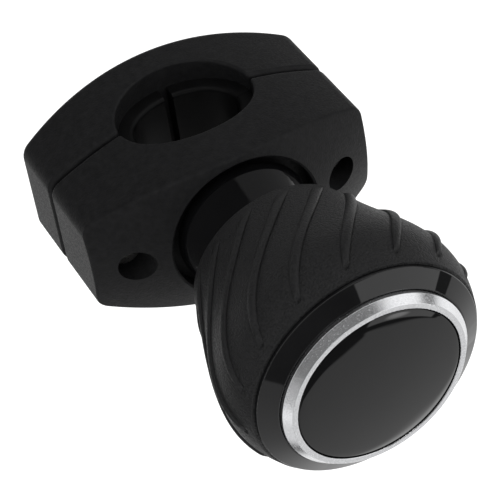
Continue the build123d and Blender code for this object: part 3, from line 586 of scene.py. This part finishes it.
def make_metal(name, dark, light, roughness, grain_mm, depth_mm):
    """A metal whose brightness and roughness drift a little."""
    material, tree, shader, place = start_finish(name, light, roughness, metallic=1.0)
    grain = grain_noise(tree, place, grain_mm, detail=3.0)
    tree.links.new(tint(tree, grain, dark, light), shader.inputs["Base Color"])
    rough = remap(tree, grain, roughness * METAL_BRIGHTEST, roughness * METAL_DULLEST)
    tree.links.new(rough, shader.inputs["Roughness"])
    tree.links.new(raise_bumps(tree, grain, depth_mm, strength=0.5), shader.inputs["Normal"])
    return material


metals = {row[0]: make_metal(*row) for row in METALS}
print("metals:", ", ".join(metals))

# %% [markdown]
# ## Nylon
#
# The ring inside the lock nut is plain nylon, cloudy and waxy. One even colour would look like paint, so
# soft clouds drift through its colour and its roughness.

# %% Make the nylon
NYLON_WHITE = (0.62, 0.62, 0.57)
NYLON_DARK, NYLON_LIGHT = (0.56, 0.56, 0.51), (0.66, 0.66, 0.62)


def make_nylon():
    """Cloudy off-white nylon."""
    material, tree, shader, place = start_finish("nylon", NYLON_WHITE, roughness=0.45)
    cloud = grain_noise(tree, place, grain_mm=2.0)
    tree.links.new(tint(tree, cloud, NYLON_DARK, NYLON_LIGHT), shader.inputs["Base Color"])
    tree.links.new(remap(tree, cloud, low=0.38, high=0.55), shader.inputs["Roughness"])
    return material


nylon = make_nylon()
print(nylon.name, "has", len(nylon.node_tree.nodes), "nodes")

# %% [markdown]
# ## Dress the carried-over pieces
#
# Most pieces keep their measured mesh and only get a finish. We could choose each finish by hand, but the
# record names a slot for every piece, so one loop does it. Edges sharper than 35 degrees stay crisp, and
# all others are shaded smooth. The grip's finish isn't in the table, because the grip gets a new mesh
# below.

# %% Give every piece its finish
SHARP_ANGLE = radians(35)
FINISHES = {
    "clamp_plastic": clamp_plastic,
    "pad_rubber": pad_rubber,
    "gloss_black": gloss_black,
    "cap_gloss": cap_gloss,
    "nylon": nylon,
    **metals,
}


def dress(node_name, slot_name):
    """Gives a carried-over piece the finish of its slot and smooth shading."""
    piece = nodes[node_name]
    piece.data.materials.clear()
    if slot_name in FINISHES:
        piece.data.materials.append(FINISHES[slot_name])
    piece.data.shade_smooth()
    piece.data.set_sharp_from_angle(angle=SHARP_ANGLE)


for entry in frame["record"]["subparts"]:
    dress(entry["node"], entry["material_slot"])

# %% [markdown]
# ## The roll of the cap's edge
#
# Black gloss tells on its shape: on the real cap the mirrored dark opening is only a thin crescent that
# follows the edge. So the cap is flatter in the middle than a slice of a ball, and rolls off near its edge.
# A bump could bend the reflection, but a mesh does it from every side. We copy the piece, take its crown
# off, and grow a new one from the open rim, ring by ring, by the slope that the crescent shows. No point
# moves by more than half a millimetre.

# %% The line of the crown
CROWN_Z = 80.0
CROWN_EDGE_RADIUS = 17.95
CROWN_BOW = 0.468  # degrees of slope for each millimetre from the middle
ROLL_FROM = 15.6
ROLL = 0.75  # more degrees, times the square of the millimetres past ROLL_FROM
EDGE_ROUND = 0.2
CROWN_RINGS = 60
EDGE_RINGS = 6


def crown_slope(radius):
    """The slope of the crown at this radius: even bowing, and a roll near the edge."""
    return radians(CROWN_BOW * radius + ROLL * max(radius - ROLL_FROM, 0) ** 2)


def crown_line():
    """Radius and height of the crown from its edge in to just short of its middle."""
    radii = np.linspace(0, CROWN_EDGE_RADIUS, CROWN_RINGS + 1)
    slopes = np.array([crown_slope(radius) for radius in radii])
    steps = np.tan((slopes[1:] + slopes[:-1]) / 2) * np.diff(radii)
    heights = CROWN_Z - np.concatenate([[0], np.cumsum(steps)])
    line = []
    for slope in np.linspace(pi / 2, slopes[-1], EDGE_RINGS + 1)[:-1]:
        out = CROWN_EDGE_RADIUS + EDGE_ROUND * (sin(slope) - sin(slopes[-1]))
        line.append((out, heights[-1] - EDGE_ROUND * (cos(slopes[-1]) - cos(slope))))
    return line + list(zip(radii[:0:-1], heights[:0:-1]))


for crown_radius in (5, 10, 17):
    slope_there = round(degrees(crown_slope(crown_radius)), 1)
    print("the crown slopes", slope_there, "degrees at", crown_radius, "mm from its middle")

# %% Copy a piece and put the copy in its place
JOIN_WITHIN = 0.001


def open_copy(node_name):
    """An editable copy of a piece's mesh, with its points joined up."""
    shape = bmesh.new()
    shape.from_mesh(nodes[node_name].data)
    bmesh.ops.remove_doubles(shape, verts=shape.verts, dist=JOIN_WITHIN * MM)
    return shape


def close_copy(shape, node_name, piece_name):
    """Makes the edited copy a piece that stands for the node."""
    bmesh.ops.recalc_face_normals(shape, faces=shape.faces)
    mesh = nodes[node_name].data.copy()
    mesh.name = piece_name
    shape.to_mesh(mesh)
    shape.free()
    mesh.shade_smooth()
    mesh.set_sharp_from_angle(angle=SHARP_ANGLE)
    piece = bpy.data.objects.new(piece_name, mesh)
    bpy.context.scene.collection.objects.link(piece)
    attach(piece, "knob")
    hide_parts(node_name)
    return piece


# %% Grow the cap's crown
CAP_WALL_TOP_Z = 77.7  # above this only the crown has faces


def grow_crown():
    """The cap with its new crown."""
    shape = open_copy("dome_cap")
    crown = [face for face in shape.faces if face.calc_center_median().z > CAP_WALL_TOP_Z * MM]
    bmesh.ops.delete(shape, geom=crown, context="FACES")
    rim = [vert for vert in shape.verts if any(edge.is_boundary for edge in vert.link_edges)]
    rim.sort(key=lambda vert: np.arctan2(vert.co.y, vert.co.x))
    ring = rim
    for radius, height in crown_line():
        above = []
        for vert in rim:
            flat = Vector((vert.co.x, vert.co.y)).normalized() * (radius * MM)
            above.append(shape.verts.new((flat.x, flat.y, height * MM)))
        for k in range(len(ring)):
            shape.faces.new((ring[k - 1], ring[k], above[k], above[k - 1]))
        ring = above
    middle = shape.verts.new((0, 0, CROWN_Z * MM))
    for k in range(len(ring)):
        shape.faces.new((ring[k - 1], ring[k], middle))
    return close_copy(shape, "dome_cap", "cap_crown")


cap_crown = grow_crown()
print("cap:", len(cap_crown.data.polygons), "faces")

# %% [markdown]
# ## The waist of the neck
#
# The neck's right half mirrors a grey patch right down to the clamp. A straight neck would mirror only the
# clamp's black face there, so the real one must lean back: it is wide at the clamp and draws in behind the
# grip. A newly turned neck would have to be joined to the rest of the moulding, so it is simpler to bend
# what is there. We copy the moulding, cut its skin into thin bands, and give each band's points a new
# distance from the axis.

# %% The outline of the neck
NECK_HEIGHTS = (20.4, 21.2, 22.5, 24.4, 31.0, 32.2, 34.0, 36.9)
NECK_RADII = (13.8, 14.85, 15.25, 15.2, 13.05, 12.95, 13.9, 16.5)
NECK_SOFTENING = 0.6
NECK_SAMPLES = 9


def neck_radius(height):
    """The neck's radius at this height, with its corners softened."""
    around = height + np.linspace(-NECK_SOFTENING, NECK_SOFTENING, NECK_SAMPLES)
    return float(np.mean(np.interp(around, NECK_HEIGHTS, NECK_RADII)))


print("neck radius in mm at 23, 28 and 32:", [round(neck_radius(z), 2) for z in (23, 28, 32)])

# %% Draw the neck in
NECK_BANDS = 44
NECK_END_LEFT_ALONE = 0.1
INSIDE_RADIUS = 12.0  # what lies nearer to the axis is the moulding's inside
CUT_WITHIN = 0.0001


def draw_neck_in():
    """The knob's moulding with a waisted neck."""
    shape = open_copy("knob_core")
    low, high = NECK_HEIGHTS[0], NECK_HEIGHTS[-1]
    for height in np.linspace(low, high, NECK_BANDS + 1)[1:-1]:
        everything = list(shape.verts) + list(shape.edges) + list(shape.faces)
        bmesh.ops.bisect_plane(
            shape, geom=everything, dist=CUT_WITHIN * MM, plane_co=(0, 0, height * MM), plane_no=(0, 0, 1)
        )
    for vert in shape.verts:
        height, radius = vert.co.z / MM, vert.co.xy.length / MM
        on_neck = low + NECK_END_LEFT_ALONE < height < high - NECK_END_LEFT_ALONE
        if on_neck and radius > INSIDE_RADIUS:
            scale = neck_radius(height) / radius
            vert.co.x, vert.co.y = vert.co.x * scale, vert.co.y * scale
    return close_copy(shape, "knob_core", "core_moulding")


core_moulding = draw_neck_in()
print("moulding:", len(core_moulding.data.polygons), "faces")

# %% [markdown]
# ## The ribbed grip
#
# The grip is one rubber sleeve moulded over the core. Fifteen rounded ribs curve around it and end short of
# the bezel, each with a small dimple left by the mould. The rubber has a leather grain, which is fainter on
# the ribs.
#
# We could take a smooth sleeve and lay tubes on it, but the joins would show. A net of points is better.
# Its columns follow the ribs, so every rib's foot lies on a column and stays crisp. Each row is a ring at
# one height, and a point moves outwards by the height of the rib there.

# %% The outline of the grip
GRIP_OUTLINE_Z = (36.9, 45.0, 53.0, 61.0, 65.5, 70.5, 73.5)
GRIP_OUTLINE_R = (19.2, 21.7, 24.4, 27.0, 27.5, 26.75, 25.5)
OUTLINE_DEGREE = 5
OUTLINE_CURVE = np.polynomial.Polynomial.fit(GRIP_OUTLINE_Z, GRIP_OUTLINE_R, OUTLINE_DEGREE)
GRIP_WALL = 2.6
REAR_ROUND = 0.9
FRONT_ROUND = 0.35
REAR_ROWS = 6
SKIN_ROWS = 118
FRONT_ROWS = 4
INSIDE_ROWS = 16


def grip_rows():
    """The sleeve's rings, once around its section: radius, height and whether ribs may stand there."""
    rear, front = GRIP_OUTLINE_Z[0], GRIP_OUTLINE_Z[-1]
    rows = []
    for turn in np.linspace(0, pi / 2, REAR_ROWS + 1)[:-1]:
        radius = OUTLINE_CURVE(rear + REAR_ROUND) - REAR_ROUND + REAR_ROUND * sin(turn)
        rows.append((radius, rear + REAR_ROUND - REAR_ROUND * cos(turn), False))
    for height in np.linspace(rear + REAR_ROUND, front - FRONT_ROUND, SKIN_ROWS):
        rows.append((OUTLINE_CURVE(height), height, True))
    for turn in np.linspace(0, pi / 2, FRONT_ROWS + 1)[1:]:
        radius = OUTLINE_CURVE(front - FRONT_ROUND) - FRONT_ROUND + FRONT_ROUND * cos(turn)
        rows.append((radius, front - FRONT_ROUND + FRONT_ROUND * sin(turn), False))
    for height in np.linspace(front, rear, INSIDE_ROWS):
        rows.append((OUTLINE_CURVE(height) - GRIP_WALL, height, False))
    return rows


print("grip radius in mm at 45, 55 and 65:", [round(float(OUTLINE_CURVE(z)), 2) for z in (45, 55, 65)])

# %% The middle line of a rib
RIB_COUNT = 15
SECTOR = 2 * pi / RIB_COUNT
RIB_PHASE = 91.5  # degrees around the axis, at the front end of the first rib
RIB_LEAD = 1.14  # degrees of turn for each millimetre, at the front end
RIB_LEAD_GROWTH = 0.0205
RIB_FRONT_Z = 70.9
RIB_REAR_Z = 38.6


def rib_line(height):
    """The angle of the first rib's middle line at this height."""
    behind = RIB_FRONT_Z - height
    return radians(RIB_PHASE - RIB_LEAD * behind - RIB_LEAD_GROWTH * behind**2)


rib_turn = degrees(rib_line(RIB_FRONT_Z) - rib_line(RIB_REAR_Z))
print("a rib winds", round(rib_turn), "degrees around the knob")

# %% The section of a rib
RIB_HALF_WIDTH = 1.08
RIB_HEIGHT = 0.74
RIB_REAR_FADE = 4.5
RIB_TIP_LENGTH = 9.0
RIB_TIP_NARROWING = 0.45


def rib_size(height):
    """Half the rib's width and its height above the skin at this height, in millimetres."""
    behind = RIB_FRONT_Z - height
    if behind <= 0 or height <= RIB_REAR_Z:
        return RIB_HALF_WIDTH * (1 - RIB_TIP_NARROWING), 0.0
    tip = min(behind / RIB_TIP_LENGTH, 1)
    width = RIB_HALF_WIDTH * (1 - RIB_TIP_NARROWING * (1 - tip) ** 2)
    nose = sqrt(1 - (1 - min(behind / width, 1)) ** 2)
    tail = min((height - RIB_REAR_Z) / RIB_REAR_FADE, 1)
    return width, RIB_HEIGHT * (width / RIB_HALF_WIDTH) * nose * (tail * tail * (3 - 2 * tail))


half_width, rib_top = rib_size(55)
print("the middle of a rib is", round(rib_top, 2), "mm high and", round(2 * half_width, 2), "mm wide")

# %% The columns of the net
RIB_COLUMNS = 16
SKIN_COLUMNS = 22
DIMPLE_RADIUS = 0.50
DIMPLE_DEPTH = 0.55


def rib_columns(radius, height):
    """Angles from the rib's middle line, heights of the skin there and shares of rib, over one sector."""
    behind = RIB_FRONT_Z - height
    slope = radians(RIB_LEAD + 2 * RIB_LEAD_GROWTH * behind) * radius
    across = radius / sqrt(1 + slope * slope)
    width, top = rib_size(height)
    around = np.linspace(-pi / 2, pi / 2, RIB_COLUMNS + 1)
    offsets = width * np.sin(around)
    raised = top * np.cos(around)
    on_rib = np.full(RIB_COLUMNS + 1, 1.0 if top > 0 else 0.0)
    distance = np.hypot(offsets, behind)
    raised = raised - DIMPLE_DEPTH * np.exp(-((distance / DIMPLE_RADIUS) ** 2))
    edge = width / across
    skin = np.linspace(edge, SECTOR - edge, SKIN_COLUMNS + 2)[1:-1]
    angles = np.concatenate([offsets / across, skin])
    raised = np.concatenate([raised, np.zeros(SKIN_COLUMNS)])
    on_rib = np.concatenate([on_rib, np.zeros(SKIN_COLUMNS)])
    return angles, raised, on_rib


print("each ring has", RIB_COUNT * (RIB_COLUMNS + 1 + SKIN_COLUMNS), "points")

# %% Weave a net into a mesh
def make_grid_mesh(name, points):
    """A closed mesh from a grid of points that joins up along both of its directions."""
    row_count, column_count = points.shape[:2]
    index = np.arange(row_count * column_count).reshape(row_count, column_count)
    next_row = np.roll(index, -1, axis=0)
    faces = np.stack([index, np.roll(index, -1, axis=1), np.roll(next_row, -1, axis=1), next_row], axis=-1)
    mesh = bpy.data.meshes.new(name)
    mesh.from_pydata(points.reshape(-1, 3).tolist(), [], faces.reshape(-1, 4).tolist())
    mesh.validate()
    mesh.shade_smooth()
    return mesh


# %% Make the grip
GRIP_SHARP_ANGLE = radians(50)


def make_grip():
    """The rubber sleeve with its ribs, in place of the plain one."""
    points, shares = [], []
    for radius, height, ribbed in grip_rows():
        angles, raised, on_rib = rib_columns(radius, height)
        if not ribbed:
            raised, on_rib = 0 * raised, 0 * on_rib
        turns = np.concatenate([rib_line(height) + angles + SECTOR * k for k in range(RIB_COUNT)])
        reach = radius + np.tile(raised, RIB_COUNT)
        heights = np.full(len(reach), height)
        points.append(np.stack([reach * np.cos(turns), reach * np.sin(turns), heights], axis=-1) * MM)
        shares.append(np.tile(on_rib, RIB_COUNT))
    mesh = make_grid_mesh("grip_sleeve", np.array(points))
    share = mesh.attributes.new("rib_share", "FLOAT", "POINT")
    share.data.foreach_set("value", np.array(shares, dtype=np.float32).ravel())
    mesh.set_sharp_from_angle(angle=GRIP_SHARP_ANGLE)
    grip = bpy.data.objects.new("grip_sleeve", mesh)
    bpy.context.scene.collection.objects.link(grip)
    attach(grip, "knob")
    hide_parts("grip")
    return grip


grip = make_grip()
print("grip:", len(grip.data.polygons), "faces")

# %% [markdown]
# ## Leather grained rubber
#
# The grain is finer than half a millimetre. Sculpting it would take many times more faces than the ribs do,
# so it is a bump. The same noise drives the colour and the roughness: the creases come out glossier and
# darker, as painted shade, and the tops duller and paler, as painted light. The net carries a value that
# says how much of each point is rib, and the bump fades to six tenths there, so the ribs look smoother than
# the rubber between them.

# %% Make the grip's rubber
GRIP_BLACK = (0.0155, 0.0155, 0.016)
# the dark tone is painted shade in the grain's creases and the light tone is painted light on its tops
GRIP_CREASE_SHADE, GRIP_TOP_LIGHT = (0.0105, 0.0105, 0.0109), (0.0205, 0.0205, 0.0211)
GRAIN_ON_RIBS = 0.6


def make_grip_rubber():
    """Black rubber with a leather grain and fainter grain on the ribs, with painted shade in its creases
    and painted light on its tops.
    """
    material, tree, shader, place = start_finish("grip_rubber", GRIP_BLACK, roughness=0.46, specular=0.17)
    share = tree.nodes.new("ShaderNodeAttribute")
    share.attribute_name = "rib_share"
    pebble = grain_noise(tree, place, grain_mm=0.45, detail=3.0)
    # the colour follows the bump's noise: painted shade in the creases, painted light on the tops
    tree.links.new(tint(tree, pebble, GRIP_CREASE_SHADE, GRIP_TOP_LIGHT), shader.inputs["Base Color"])
    tree.links.new(remap(tree, pebble, low=0.34, high=0.58), shader.inputs["Roughness"])
    depth = fade_along(tree, share.outputs["Fac"], (0, 1), (1.0, GRAIN_ON_RIBS))
    tree.links.new(raise_bumps(tree, product(tree, pebble, depth), depth_mm=0.36), shader.inputs["Normal"])
    return material


grip.data.materials.append(make_grip_rubber())
print("grip finish:", grip.data.materials[0].name)
